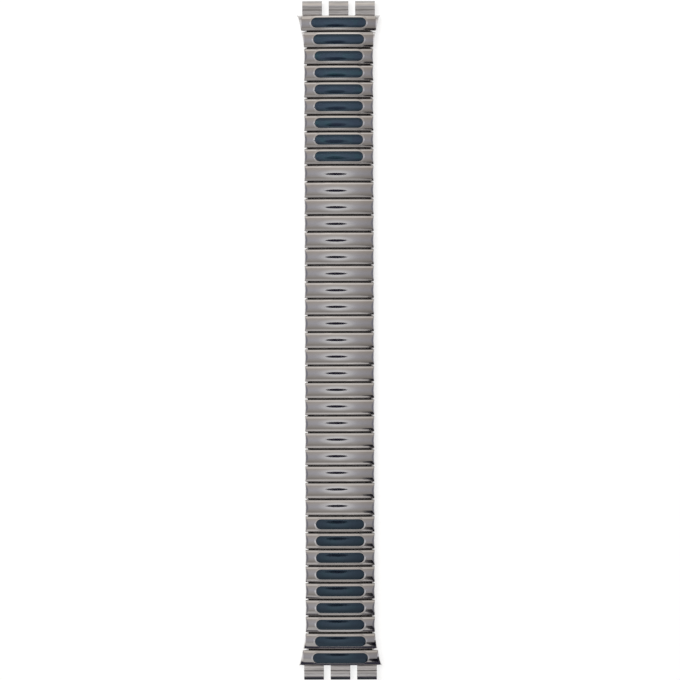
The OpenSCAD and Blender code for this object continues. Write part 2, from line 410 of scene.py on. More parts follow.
# Outlines

def stadium(length, width, straight_steps=30, round_steps=14):
    """Points round a slot with half-round ends."""
    r = width / 2
    reach = length / 2 - r
    points = [(-reach + 2 * reach * k / straight_steps, r) for k in range(straight_steps)]
    points += [(reach + r * math.sin(math.pi * k / round_steps), r * math.cos(math.pi * k / round_steps))
               for k in range(round_steps)]
    return points + [(-x, -y) for x, y in points]


def rounded_profile(width, height, radius, steps=4):
    """Points round a rectangle with round corners, about its centre."""
    radius = min(radius, width / 2 - TOUCHING, height / 2 - TOUCHING)
    points = []
    for quarter in range(4):
        angle = quarter * math.pi / 2
        x_side = (1, -1, -1, 1)[quarter]
        y_side = (1, 1, -1, -1)[quarter]
        for k in range(steps + 1):
            turn = angle + k * math.pi / 2 / steps
            points.append((x_side * (width / 2 - radius) + radius * math.cos(turn),
                           y_side * (height / 2 - radius) + radius * math.sin(turn)))
    return points


# Pieces

def cap_rows(form, rows=16):
    """Places along the band where a cap's grid has its rows, from -Y to +Y."""
    far_crease = HALF_LEN - form.ledge
    crown = [-CREASE_Y + (CREASE_Y + far_crease) * k / rows for k in range(rows + 1)]
    if form.ledge > BEVEL_W:
        crown += [(far_crease + CREASE_Y) / 2, CREASE_Y]
    near_end, far_end = (bevel_end_y(side, form) for side in (-1, 1))
    return [-HALF_LEN, near_end, *crown, far_end, HALF_LEN]


def cap_grid(bm, ys, form, inner, columns=38):
    """Upper skin of a cap, or the inner skin that follows it a sheet's thickness below."""
    grid = []
    for y in ys:
        side = side_x(y, form)
        crease = side_crease_x(y, form)
        slant = [crease + (side - crease) * k / 4 for k in (1, 2, 3, 4)]
        xs = [-x for x in reversed(slant)]
        xs += [crease * (2 * k / columns - 1) for k in range(columns + 1)] + slant
        shrink_x = 1 - SHEET_T / side if inner else 1
        shrink_y = 1 - SHEET_T / HALF_LEN if inner else 1
        row = []
        for x in xs:
            top = cap_z(x, y, form)
            if inner:
                top = min(top, cap_z(x * shrink_x, y * shrink_y, form)) - SHEET_DROP
            row.append(bm.verts.new((x * shrink_x, y * shrink_y, top)))
        grid.append(row)
    for first, second in zip(grid, grid[1:]):
        for k in range(len(first) - 1):
            bm.faces.new((first[k], first[k + 1], second[k + 1], second[k]))
    return grid


def weigh_edges(bm, form, widest):
    """Gives each edge of a cap the share of the widest rounding that it gets."""
    weight = bm.edges.layers.float.new("bevel_weight_edge")
    for edge in bm.edges:
        if len(edge.link_faces) != 2 or edge.calc_face_angle(0) < math.radians(LEAST_CREASE_ANGLE):
            continue
        middle = (edge.verts[0].co + edge.verts[1].co) / 2
        at_wall = [face for face in edge.link_faces if abs(face.normal.z) < WALL_LEAN]
        at_corner = (abs(middle.y) > HALF_LEN - WALL_SLACK and middle.z > UPPER_Z + FOOT_H
                     and abs(middle.x) > side_x(middle.y, form) - WALL_SLACK)
        if abs(middle.z - cap_z(middle.x, middle.y, form)) < SKIN_SLACK:
            straight = middle.y > HALF_LEN - WALL_SLACK and abs(middle.x) < form.w_in / 2 - FLARE_CREASE_IN
            outer = widest if straight else EDGE_ROUND
            edge[weight] = (outer if at_wall else CREASE_ROUND) / widest
        elif at_corner:
            edge[weight] = CORNER_ROUND / widest


def cap_shell(form):
    """The pressed cap: crown, bevels, four walls and an even sheet thickness."""
    bm = bmesh.new()
    ys = cap_rows(form)
    grids = [cap_grid(bm, ys, form, inner) for inner in (False, True)]
    feet = []
    for grid in grids:
        edge = grid[0] + [row[-1] for row in grid[1:-1]]
        edge += grid[-1][::-1] + [row[0] for row in grid[-2:0:-1]]
        foot = [bm.verts.new((v.co.x, v.co.y, UPPER_Z)) for v in edge]
        bridge(bm, edge, foot)
        feet.append(foot)
    bridge(bm, feet[0], feet[1])
    tidy(bm)
    widest = END_EDGE_ROUND if form.ledge == END_LEDGE_W else EDGE_ROUND
    weigh_edges(bm, form, widest)
    made = to_object(bm, "cap_shell")
    soften(made, widest)
    return made


def bent_tab(bm, x, width, z, side):
    """Tab that runs down from the long wall and turns inward under what stands on z."""
    inner_y = HALF_LEN - SHEET_T
    tip_y = inner_y - TAB_DEPTH
    low = z - FIT - TAB_T
    high = low + TAB_T
    root = UPPER_Z + TAB_ROOT
    profile = [(HALF_LEN, root), (HALF_LEN, low + TAB_BEND)]
    profile += [(HALF_LEN - TAB_BEND + TAB_BEND * math.cos(a), low + TAB_BEND - TAB_BEND * math.sin(a))
                for a in (math.pi / 8, math.pi / 4, 3 * math.pi / 8)]
    profile += [(HALF_LEN - TAB_BEND, low), (tip_y + TAB_EDGE_OUT, low), (tip_y, low + TAB_EDGE_OUT),
                (tip_y, high - TAB_EDGE_IN), (tip_y + TAB_EDGE_IN, high), (inner_y, high), (inner_y, root)]
    skin(bm, [[(x + end, side * y, level) for y, level in profile] for end in (-width / 2, width / 2)])


def rim_mesh(length, leans):
    """Low rim round the enamel, a closed ring that stands in the crown.

    Leans are slopes of its crest: outward along the edges on +Y and -Y, and a little inward at the ends on
    +X and -X, in their +Y half only.
    """
    bm = bmesh.new()
    inner_edge = stadium(length, ENAMEL_W)
    loops = []
    for offset, lift in RIM_SECTION:
        outer_edge = stadium(length + 2 * offset, ENAMEL_W + 2 * offset)
        ring = []
        for (x, y), inner in zip(outer_edge, inner_edge):
            outward = leans[0] if y > 0 else leans[1]
            inward = (leans[2] if x > 0 else leans[3]) * min(1.0, max(0.0, y / RIM_END_FADE))
            fall = outward * abs(y - inner[1]) - inward * abs(x - inner[0])
            ring.append((x, y, arch_z(*inner) + lift - fall))
        loops.append(ring)
    ring_band(bm, loops)
    tidy(bm)
    return mesh_of(to_object(bm, "rim"))


def cap_mesh(form, enamel_length=0.0, is_end=False):
    """Finished mesh of a cap; link 1's outer side is +Y."""
    shell = cap_shell(form)
    sides = [-1] if is_end else [-1, 1]
    added = bmesh.new()
    for side in sides:
        for x in (-TAB_X, TAB_X):
            bent_tab(added, x, TAB_W, UPPER_Z, side)
    if is_end:
        for x in (-LUG_STEP / 2, LUG_STEP / 2):
            bent_tab(added, x, LUG_STEP - LUG_W - 2 * LUG_PLAY, PLATE_LOW, 1)
    face_outward(added)

    cut = bmesh.new()
    wall_in, wall_out = HALF_LEN - 2 * SHEET_T, HALF_LEN + SHEET_T
    notch_in, notch_out = SLEEVE_W / 2 - FIT, BOW_OUT + NOTCH_SPARE
    for side in sides:
        for x in (-1, 1):
            low_x, high_x = sorted((x * notch_in, x * notch_out))
            low_y, high_y = sorted((side * wall_in, side * wall_out))
            add_box(cut, (low_x, low_y, UPPER_Z - CUT_PAST), (high_x, high_y, UPPER_Z + NOTCH_H))
    if is_end:
        for k in (-1, 0, 1):
            half = LUG_W / 2 + LUG_PLAY
            add_box(cut, (k * LUG_STEP - half, wall_in, LUG_SLOT_LOW),
                    (k * LUG_STEP + half, wall_out, PLATE_TOP + FIT))
    face_outward(cut)
    if enamel_length:
        add_pocket(cut, enamel_length)
    return mesh_of(shell, to_object(cut, "cut"), to_object(added, "added"))


def add_pocket(bm, length):
    """Pocket for the enamel, a little way into the crown; it leaves the rim round it whole."""
    length -= POCKET_PLAY
    width = ENAMEL_W - POCKET_PLAY
    loops = [[(x, y, CAP_TOP + CUT_PAST) for x, y in stadium(length, width)]]
    for inset in (*POCKET_INSETS, width / 2):
        edge = stadium(length - 2 * inset, width - 2 * inset)
        loops.append([(x, y, arch_z(x, y) - POCKET_DEPTH) for x, y in edge])
    rings = skin(bm, loops, caps=False)
    bm.faces.new(rings[0])
    tidy(bm)


def dome_fall(y, edge):
    """How much lower than the crown the enamel's flatter dome is at y; none at its edge."""
    def to_edge(across):
        return math.sqrt(across ** 2 - y ** 2) - math.sqrt(across ** 2 - edge ** 2)

    return to_edge(ARCH_R) - to_edge(DOME_R)


def enamel_mesh(length):
    """Enamel in the pocket of a cap, domed a little flatter than the crown and lower at its rim."""
    bm = bmesh.new()
    length -= 2 * FIT
    width = ENAMEL_W - 2 * FIT
    loops = []
    for inset, lift in [*ENAMEL_SECTION, (width / 2, ENAMEL_SECTION[-1][1])]:
        edge = stadium(length - 2 * inset, width - 2 * inset)
        loops.append([(x, y, arch_z(x, y) - dome_fall(y, width / 2) + lift) for x, y in edge])
    rings = skin(bm, loops, caps=False)
    keel = [bm.verts.new((v.co.x * KEEL_SHARE, 0, v.co.z)) for v in rings[0]]
    bridge(bm, rings[0], keel)
    tidy(bm)
    return mesh_of(to_object(bm, "enamel"))


def sleeve_track(length, inset, steps=6):
    """The run of a sleeve's sheet in side view, from one side of the seam round to the other."""
    half_y, half_z = length / 2 - inset, SLEEVE_H / 2 - inset
    r = max(SLEEVE_R - inset, LEAST_SLEEVE_R)
    points = [(SEAM_W / 2, half_z)]
    for quarter, (sy, sz) in enumerate(((1, 1), (1, -1), (-1, -1), (-1, 1))):
        start = math.pi / 2 - quarter * math.pi / 2
        for k in range(steps + 1):
            turn = start - k * math.pi / 2 / steps
            points.append((sy * (half_y - r) + r * math.cos(turn), sz * (half_z - r) + r * math.sin(turn)))
    points.append((-SEAM_W / 2, half_z))
    return points


def sleeve_mesh(length, upper):
    """Rolled flat tube with an open seam, its length along the band given; upper ones stand seam down."""
    bm = bmesh.new()
    profile = sleeve_track(length, 0) + sleeve_track(length, SLEEVE_T)[::-1]
    ends = (-SLEEVE_W / 2, SLEEVE_W / 2)
    skin(bm, [[(x, y, SLEEVE_H / 2 + z) for y, z in profile] for x in ends], caps=False)
    for x in ends:
        end = [v for v in bm.verts if abs(v.co.x - x) < TOUCHING]
        half = len(end) // 2
        for k in range(half - 1):
            bm.faces.new((end[k], end[k + 1], end[-2 - k], end[-1 - k]))
    if not upper:
        for side in (-1, 1):
            skin(bm, lip_loops(side))
    face_outward(bm)

    def at_end(edge):
        middle_x = (edge.verts[0].co.x + edge.verts[1].co.x) / 2
        return abs(abs(middle_x) - SLEEVE_W / 2) < TOUCHING

    round_edges(bm, SLEEVE_ROUND, 2, at_end)
    if upper:
        turn_over(bm)
    return mesh_of(to_object(bm, "sleeve"))


def lip_loops(side):
    """Lip that runs out of a lower sleeve's upper wall between its two bows, with round corners."""
    root = SLEEVE_W / 2 - LIP_ROOT
    outline = [(root, -LIP_W / 2)]
    for along, start in ((-1, -math.pi / 2), (1, 0)):
        turns = [start + k * math.pi / 8 for k in range(5)]
        outline += [(LIP_OUT - LIP_R + LIP_R * math.cos(turn),
                     along * (LIP_W / 2 - LIP_R) + LIP_R * math.sin(turn)) for turn in turns]
    outline.append((root, LIP_W / 2))
    return [[(side * x, y, z) for x, y in outline] for z in (LIP_LOW, LIP_HIGH)]


def turn_over(bm):
    """Mirrors a lower piece into its place in the upper row."""
    bmesh.ops.scale(bm, vec=(1, 1, -1), verts=bm.verts)
    bmesh.ops.translate(bm, vec=(0, 0, ROWS_H), verts=bm.verts)
    bmesh.ops.reverse_faces(bm, faces=bm.faces)


def swept_strip(stations):
    """A strip along a path in X and Z; a station is x, z, direction, width, thickness, corner radius."""
    loops = []
    for x, z, direction, width, thickness, radius in stations:
        across_x, across_z = -math.sin(direction), math.cos(direction)
        loops.append([(x + across_x * v, u, z + across_z * v)
                      for u, v in rounded_profile(width, thickness, radius)])
    bm = bmesh.new()
    skin(bm, loops)
    face_outward(bm)
    return bm


def spring_mesh(length, upper):
    """Cranked leaf spring: its ends press the bow legs and its middle the sleeve."""
    width = length - 2 * SLEEVE_R - 2 * FIT
    foot = SPRING_MIDDLE + SPRING_RAMP
    tip = PADDLE_OUT - SPRING_SHORT
    low = SPRING_LOW + SPRING_T / 2
    high = low + SPRING_RISE
    slope = math.atan2(SPRING_RISE, foot - SPRING_MIDDLE)
    half_path = [(0, high, 0), (SPRING_MIDDLE - CRANK, high, 0),
                 (SPRING_MIDDLE, high - CRANK_MID, -slope / 2),
                 (SPRING_MIDDLE + CRANK, high - CRANK_END, -slope), (foot - CRANK, low + CRANK_END, -slope),
                 (foot, low + CRANK_MID, -slope / 2), (foot + CRANK, low, 0), (tip - 0.06, low, 0)]
    stations = [(x, z, a, width, SPRING_T, SPRING_ROUND) for x, z, a in half_path]
    # The tip itself is narrower, thinner and rounder
    stations.append((tip, low, 0, width - 0.12, SPRING_T - 0.04, 0.02))
    other = [(-x, z, -a, w, t, r) for x, z, a, w, t, r in reversed(stations[1:])]
    bm = swept_strip(other + stations)
    if upper:
        turn_over(bm)
    return mesh_of(to_object(bm, "spring"))


def bow_mesh():
    """U-shaped bow of the +X side: paddle, neck, bend, neck and paddle in one strip."""
    # A section is width, thickness and corner radius
    tip = (LEG_W - 0.12, LEG_T - 0.1, 0.05)
    flat = (LEG_W, LEG_T, 0.07)
    shoulder = (0.54, LEG_T, 0.1)
    neck = (NECK_D, NECK_D * 0.93, 0.14)
    root = (0.52, LEG_T, 0.1)
    leg = [(PADDLE_IN, tip), (PADDLE_IN + 0.06, flat), (PADDLE_OUT - 0.05, flat),
           (PADDLE_OUT + 0.04, shoulder), (PADDLE_OUT + 0.12, neck), (BEND_X - 0.14, neck),
           (BEND_X - 0.05, root), (BEND_X, flat)]
    half = [(x, LEG_LOW, 0, *section) for x, section in leg]
    for k in range(1, BEND_STEPS + 1):
        turn = k * math.pi / 2 / BEND_STEPS
        half.append((BEND_X + BEND_MID_R * math.sin(turn),
                     LEG_LOW + BEND_MID_R * (1 - math.cos(turn)), turn, *flat))
    other = [(x, LEG_LOW + LEG_HIGH - z, math.pi - a, w, t, r) for x, z, a, w, t, r in reversed(half)]
    return mesh_of(to_object(swept_strip(half + other), "bow"))


def lug_profile(roll_steps=44, bore_steps=28, step_rows=7):
    """Side view of a lug: out along its underside, round the roll, in at the seam, round the bore, back."""
    # Past the cap's wall the lug's top steps up, then runs into the roll on a slope
    reach = math.hypot(LUG_Y - SLOPE_Y, SLOPE_Z - LUG_Z)
    rise = math.asin(LUG_R / reach) - math.atan((SLOPE_Z - LUG_Z) / (LUG_Y - SLOPE_Y))
    touch = math.pi / 2 + rise
    seam_z = SLOPE_Z + (LUG_SEAM_Y - SLOPE_Y) * math.tan(rise)
    seam = math.atan2(seam_z - LUG_Z, LUG_SEAM_Y - LUG_Y)
    meets_low = math.pi + math.asin((LUG_Z - PLATE_LOW) / LUG_R)
    half_slit = LUG_SEAM_W / 2 / math.cos(seam - touch)
    slit_in = LUG_SEAM_W / 2 / PIN_R
    back = HALF_LEN - 2 * SHEET_T - LUG_ROOT

    def arc(r, start, stop, steps):
        angles = [start + (stop - start) * k / steps for k in range(steps + 1)]
        return [(LUG_Y + r * math.cos(a), LUG_Z + r * math.sin(a)) for a in angles]

    def on_slope(y, lift=0.0):
        return y, SLOPE_Z + (y - SLOPE_Y) * math.tan(rise) + lift

    def on_step(share):
        eased = share ** 2 * (3 - 2 * share)
        return STEP_Y + (SLOPE_Y - STEP_Y) * share, PLATE_TOP + (SLOPE_Z - PLATE_TOP) * eased

    profile = [(back, PLATE_LOW)]
    profile += arc(LUG_R, meets_low, touch + 2 * math.pi, roll_steps)
    profile += [on_slope(LUG_SEAM_Y + half_slit + out, lift) for out, lift in SEAM_EDGE]
    profile += arc(PIN_R, seam - slit_in, seam - 2 * math.pi + slit_in, bore_steps)
    profile += [on_slope(LUG_SEAM_Y - half_slit - out, lift) for out, lift in reversed(SEAM_EDGE)]
    profile.append(on_slope(SLOPE_Y + SLOPE_FOOT))
    profile += [on_step(k / step_rows) for k in range(step_rows, -1, -1)]
    profile.append((back, PLATE_TOP))
    return profile


def bracket_mesh():
    """Plate under an end cap with three lugs rolled round the pin, each with an open seam."""
    profile = lug_profile()
    lugs = bmesh.new()
    for k in (-1, 0, 1):
        skin(lugs, [[(k * LUG_STEP + x, y, z) for y, z in profile] for x in (-LUG_W / 2, LUG_W / 2)])
    face_outward(lugs)

    def at_side(edge):
        from_middle = [abs((v.co.x + 1.5 * LUG_STEP) % LUG_STEP - LUG_STEP / 2) for v in edge.verts]
        past_wall = min(v.co.y for v in edge.verts) > HALF_LEN - 2 * SHEET_T
        return past_wall and max(abs(x - LUG_W / 2) for x in from_middle) < TOUCHING

    round_edges(lugs, LUG_ROUND, 3, at_side)
    plate = bmesh.new()
    add_box(plate, (-LUG_SET_W / 2, PLATE_Y, PLATE_LOW), (LUG_SET_W / 2, HALF_LEN - 2 * SHEET_T, PLATE_TOP))
    face_outward(plate)
    round_edges(plate, PLATE_ROUND, 2, lambda edge: True)
    return mesh_of(to_object(plate, "bracket"), joins=to_object(lugs, "lugs"))


# Shader groups

def new_group(name, inputs, outputs):
    """An empty shader group with its named sockets; returns the tree, its input and its output node."""
    tree = bpy.data.node_groups.new(name, "ShaderNodeTree")
    for label, kind, value in inputs:
        socket = tree.interface.new_socket(label, in_out="INPUT", socket_type=kind)
        if value is not None:
            socket.default_value = value
    for label, kind in outputs:
        tree.interface.new_socket(label, in_out="OUTPUT", socket_type=kind)
    return tree, tree.nodes.new("NodeGroupInput"), tree.nodes.new("NodeGroupOutput")


def fill(tree, socket, value):
    """Links a socket to another one, or sets its value."""
    if isinstance(value, bpy.types.NodeSocket):
        tree.links.new(value, socket)
    else:
        socket.default_value = value


def node(tree, kind, inputs=None, **settings):
    """Adds a node, sets its properties, and fills or links its inputs."""
    made = tree.nodes.new(kind)
    for key, value in settings.items():
        setattr(made, key, value)
    for key, value in (inputs or {}).items():
        fill(tree, made.inputs[key], value)
    return made


def grey(value):
    return value, value, value


def shaded(colour, share):
    return tuple(min(1.0, c * share) for c in colour)


def ramp(tree, factor, stops, interpolation="LINEAR"):
    """A colour ramp; a stop is its place and its colour, and the stops are given in order."""
    made = node(tree, "ShaderNodeValToRGB", {"Fac": factor})
    made.color_ramp.interpolation = interpolation
    elements = made.color_ramp.elements
    while len(elements) < len(stops):
        elements.new(0.5)
    for element, (place, colour) in zip(elements, stops):
        element.position = place
        element.color = (*colour, 1)
    return made.outputs["Color"]


def math_node(tree, operation, *values, clamp=False):
    made = node(tree, "ShaderNodeMath", dict(enumerate(values)), operation=operation)
    made.use_clamp = clamp
    return made.outputs[0]


def times(tree, first, second, clamp=False):
    return math_node(tree, "MULTIPLY", first, second, clamp=clamp)


def plus(tree, first, second, clamp=False):
    return math_node(tree, "ADD", first, second, clamp=clamp)


def minus(tree, first, second, clamp=False):
    return math_node(tree, "SUBTRACT", first, second, clamp=clamp)


def vector_node(tree, operation, *values):
    return node(tree, "ShaderNodeVectorMath", dict(enumerate(values)), operation=operation).outputs[0]


def mix_colour(tree, factor, first, second, blend="MIX"):
    """Mixes two colours; each is a socket or three numbers."""
    made = node(tree, "ShaderNodeMix", data_type="RGBA", blend_type=blend)
    for name, value in (("Factor_Float", factor), ("A_Color", first), ("B_Color", second)):
        socket = next(s for s in made.inputs if s.identifier == name)
        fill(tree, socket, (*value, 1) if isinstance(value, tuple) else value)
    return next(s for s in made.outputs if s.identifier == "Result_Color")


def hairline_group():
    """Fine lines of the polishing wheel along X, and a few handling scratches."""
    tree, given, out = new_group(
        "hairlines",
        [("Vector", "NodeSocketVector", None), ("Seed", "NodeSocketFloat", 0.0),
         ("Line Scale", "NodeSocketFloat", 9.0), ("Scratch Amount", "NodeSocketFloat", 0.5)],
        [("Lines", "NodeSocketFloat"), ("Scratches", "NodeSocketFloat"), ("Cloud", "NodeSocketFloat")])
    millimetres = vector_node(tree, "MULTIPLY", given.outputs["Vector"], grey(1 / MM))
    seed = times(tree, given.outputs["Seed"], SEED_STEP)
    shift = node(tree, "ShaderNodeCombineXYZ", {"X": seed, "Y": seed, "Z": 0.0}).outputs[0]
    placed = vector_node(tree, "ADD", millimetres, shift)
    along_lines = vector_node(tree, "MULTIPLY", placed, LINE_STRETCH)
    lines = node(tree, "ShaderNodeTexNoise", {
        "Vector": along_lines, "Scale": given.outputs["Line Scale"], "Detail": 3.0, "Roughness": 0.6})
    turned = node(tree, "ShaderNodeVectorRotate", {"Vector": placed, "Angle": 0.5}, rotation_type="Z_AXIS")
    slender = vector_node(tree, "MULTIPLY", turned.outputs[0], SCRATCH_STRETCH)
    cells = node(tree, "ShaderNodeTexVoronoi", {"Vector": slender, "Scale": 1.3}, feature="DISTANCE_TO_EDGE")
    thin = minus(tree, 1.0, times(tree, cells.outputs["Distance"], SCRATCH_FINENESS), clamp=True)
    sparse = node(tree, "ShaderNodeTexNoise", {"Vector": placed, "Scale": 0.45, "Detail": 1.0})
    allowed = times(tree, minus(tree, sparse.outputs["Fac"], 0.5, clamp=True), 5.0, clamp=True)
    scratches = times(tree, times(tree, thin, allowed), given.outputs["Scratch Amount"], clamp=True)
    cloud = node(tree, "ShaderNodeTexNoise", {
        "Vector": placed, "Scale": 0.32, "Detail": 3.0, "Roughness": 0.55})
    tree.links.new(lines.outputs["Fac"], out.inputs["Lines"])
    tree.links.new(scratches, out.inputs["Scratches"])
    tree.links.new(cloud.outputs["Fac"], out.inputs["Cloud"])
    return tree


def edge_group():
    """Mask of the worn, brighter edges, which also gives the enamel its painted dark edges, and of the
    hollows, which get painted shade.
    """
    tree, given, out = new_group(
        "edge_wear_and_shade",
        [("Edge Start", "NodeSocketFloat", 0.52), ("Edge Gain", "NodeSocketFloat", 12.0)],
        [("Edge", "NodeSocketFloat"), ("Hollow", "NodeSocketFloat")])
    pointed = node(tree, "ShaderNodeNewGeometry").outputs["Pointiness"]
    above = minus(tree, pointed, given.outputs["Edge Start"], clamp=True)
    below = minus(tree, HOLLOW_START, pointed, clamp=True)
    for label, value in (("Edge", above), ("Hollow", below)):
        tree.links.new(times(tree, value, given.outputs["Edge Gain"], clamp=True), out.inputs[label])
    return tree


SEED_STEP = 61.0
LINE_STRETCH = (0.09, 1.0, 1.0)
SCRATCH_STRETCH = (0.16, 2.6, 1.0)
SCRATCH_FINENESS = 34.0
HOLLOW_START = 0.48
HAIRLINES = hairline_group()
EDGE_WEAR_AND_SHADE = edge_group()


# Materials

# Places in millimetres: the height between the two rows that is darkened as painted shade, and the bands of
# painted shade along a lug, which stand in for the rows of its reflections, with the share of the colour that
# is kept there
ROW_SHADE_REACH = 4.0
ROW_SHADE_STOPS = [(0.6, 0), (0.92, 1), (1.8, 1), (2.24, 0)]
# Painted shade: the near-black colour that the steel of both rows is darkened towards between them
ROW_SHADE_COLOUR = (0.012, 0.010, 0.009)
BAND_REACH = 6.0
BAND_WANDER = 0.00025
# Painted shade along a lug: bands that stand in for the rows of light and dark of its reflections
LUG_SHADE_BANDS = [(1.8, 0.95), (2.08, 0.84), (2.3, 0.95), (2.5, 0.86), (2.7, 0.96), (2.95, 0.84), (3.12, 0.95),
             (3.32, 1.0), (3.48, 0.86), (3.66, 0.71), (3.82, 0.80), (4.0, 0.98), (4.2, 1.0), (4.45, 0.82),
             (4.7, 0.62), (4.95, 0.42)]
LINE_START = 0.3
LINE_GAIN = 2.5
LINE_SHADE = 0.62
WORN_SHADE = 1.22
HOLLOW_SHADE = 0.4
WEAR_AND_SHADE_AMOUNT = 0.5
SCRATCH_ROUGH = 0.16
SCRATCH_DEPTH = 0.8
CLOUD_ROUGH = 0.6
LINE_RELIEF = 0.00002
CLOUD_RELIEF = 0.0002


def new_material(name):
    """A material with its tree and its first shader."""
    material = bpy.data.materials.new(name)
    material.use_nodes = True
    return material, material.node_tree, material.node_tree.nodes["Principled BSDF"]


def place_groups(tree, line_scale, scratch, edge_gain):
    """Puts both groups into a material; returns the object coordinates, the lines and the masks of worn edges
    and painted shade.
    """
    place = node(tree, "ShaderNodeTexCoord").outputs["Object"]
    seed = node(tree, "ShaderNodeObjectInfo").outputs["Random"]
    lines = node(tree, "ShaderNodeGroup", {"Vector": place, "Seed": seed, "Line Scale": line_scale,
                                           "Scratch Amount": scratch}, node_tree=HAIRLINES)
    wear_and_shade = node(tree, "ShaderNodeGroup", {"Edge Gain": edge_gain}, node_tree=EDGE_WEAR_AND_SHADE)
    return place, lines.outputs, wear_and_shade.outputs


def dress_shader(tree, shader, base, roughness, height, strength, distance):
    """Gives a shader its colour, its roughness and its bumps."""
    bumps = node(tree, "ShaderNodeBump", {"Height": height, "Strength": strength, "Distance": distance})
    for label, value in (("Base Color", base), ("Roughness", roughness), ("Normal", bumps.outputs["Normal"])):
        tree.links.new(value, shader.inputs[label])


def steel(name, colour, dull_colour, rough, rough_spread, line_scale, scratch, bump, edge_gain=10.0,
          row_shade=0.0, grain=0.22, shade_bands=None):
    """Stainless steel with polishing lines, worn edges and painted shade in its hollows; the row shade share
    is how dark painted shade makes it between the two rows.

    Shade bands are stops of painted shade along Y, standing in for the rows of a lug's reflections: a place
    in millimetres and how much colour is kept there.
    """
    material, tree, shader = new_material(name)
    place, lines, wear_and_shade = place_groups(tree, line_scale, scratch, edge_gain)
    axes = node(tree, "ShaderNodeSeparateXYZ", {"Vector": place}).outputs

    base = mix_colour(tree, lines["Cloud"], dull_colour, colour)
    strong_lines = times(tree, minus(tree, lines["Lines"], LINE_START), LINE_GAIN, clamp=True)
    base = mix_colour(tree, times(tree, strong_lines, grain), base, shaded(colour, LINE_SHADE))
    base = mix_colour(tree, times(tree, wear_and_shade["Edge"], WEAR_AND_SHADE_AMOUNT), base, shaded(colour, WORN_SHADE))
    # Painted shade: the hollows are darkened
    base = mix_colour(tree, times(tree, wear_and_shade["Hollow"], WEAR_AND_SHADE_AMOUNT), base, shaded(colour, HOLLOW_SHADE))
    # Painted shade: darker between the two rows, where the sleeves and springs face each other
    height = times(tree, axes["Z"], 1 / MM / ROW_SHADE_REACH)
    between = ramp(tree, height, [(z / ROW_SHADE_REACH, grey(share)) for z, share in ROW_SHADE_STOPS], "EASE")
    base = mix_colour(tree, times(tree, between, row_shade), base, ROW_SHADE_COLOUR)
    # Painted shade in bands along Y, standing in for the rows of a lug's reflections
    if shade_bands:
        wander = times(tree, minus(tree, lines["Cloud"], 0.5), BAND_WANDER)
        shifted = times(tree, plus(tree, axes["Y"], wander), 1 / MM / BAND_REACH)
        kept = ramp(tree, shifted, [(y / BAND_REACH, grey(share)) for y, share in shade_bands], "EASE")
        base = mix_colour(tree, 1.0, base, kept, "MULTIPLY")

    spread = times(tree, lines["Lines"], rough_spread)
    scuffed = times(tree, lines["Scratches"], SCRATCH_ROUGH)
    cloudy = times(tree, lines["Cloud"], rough_spread * CLOUD_ROUGH)
    total = plus(tree, plus(tree, spread, scuffed), plus(tree, cloudy, rough))
    relief = minus(tree, lines["Lines"], times(tree, lines["Scratches"], SCRATCH_DEPTH))
    dress_shader(tree, shader, base, total, relief, bump, LINE_RELIEF)
    shader.inputs["Metallic"].default_value = 1.0
    return material


def enamel_material(name, lit_share):
    """Dark teal-blue fired enamel under a clear glossy skin, clouded, darker towards its edges as painted
    shade; the lit share scales its colour, and below one it paints shade.
    """
    material, tree, shader = new_material(name)
    place, lines, wear_and_shade = place_groups(tree, 4.0, 0.4, 12.0)
    teals = [(0.3, (0.018, 0.021, 0.040)), (0.5, (0.018, 0.028, 0.046)), (0.7, (0.014, 0.044, 0.052))]
    tint = ramp(tree, lines["Cloud"], [(at, shaded(colour, lit_share)) for at, colour in teals])
    streaked = mix_colour(tree, times(tree, lines["Lines"], 0.55), tint, shaded((0.008, 0.014, 0.024), lit_share))
    # Painted shade: the enamel darkens towards its long edges
    axes = node(tree, "ShaderNodeSeparateXYZ", {"Vector": place}).outputs
    from_middle = times(tree, math_node(tree, "ABSOLUTE", axes["Y"]), 1 / MM)
    to_edge = plus(tree, from_middle, times(tree, lines["Cloud"], 0.5))
    shade = ramp(tree, to_edge, [(0.0, grey(0)), (0.72, grey(0.1)), (1.0, grey(0.9))], "EASE")
    edge_shaded = mix_colour(tree, shade, streaked, (0.003, 0.005, 0.010))
    # Painted shade: its sharp edges are darkened further
    edged = mix_colour(tree, times(tree, wear_and_shade["Edge"], 0.6), edge_shaded, (0.004, 0.007, 0.012))
    roughness = plus(tree, 0.06, times(tree, lines["Lines"], 0.10))
    dress_shader(tree, shader, edged, roughness, lines["Cloud"], 0.12, CLOUD_RELIEF)
    shader.inputs["IOR"].default_value = 1.76
    shader.inputs["Specular Tint"].default_value = (0.55, 0.80, 1.0, 1.0)
    return material


POLISHED = steel("polished_steel", (0.64, 0.62, 0.605), (0.56, 0.545, 0.54), 0.035, 0.035, 9.0, 0.5, 0.02)
# The rim is of the same steel as the cap; its lighter colour here is a painted highlight
RIM_HIGHLIGHT_STEEL = steel("rim_highlight_steel", (0.72, 0.71, 0.705), (0.66, 0.65, 0.645), 0.05, 0.035, 9.0, 0.4, 0.02)
# The rolled and spring steels are darkened between the rows as painted shade
ROLLED = steel("rolled_steel", (0.5, 0.49, 0.48), (0.36, 0.35, 0.345), 0.24, 0.14, 6.0, 0.9, 0.25,
               row_shade=0.9)
SPRING = steel("spring_steel", (0.46, 0.44, 0.41), (0.36, 0.34, 0.33), 0.24, 0.16, 7.0, 0.6, 0.25,
               row_shade=0.7)
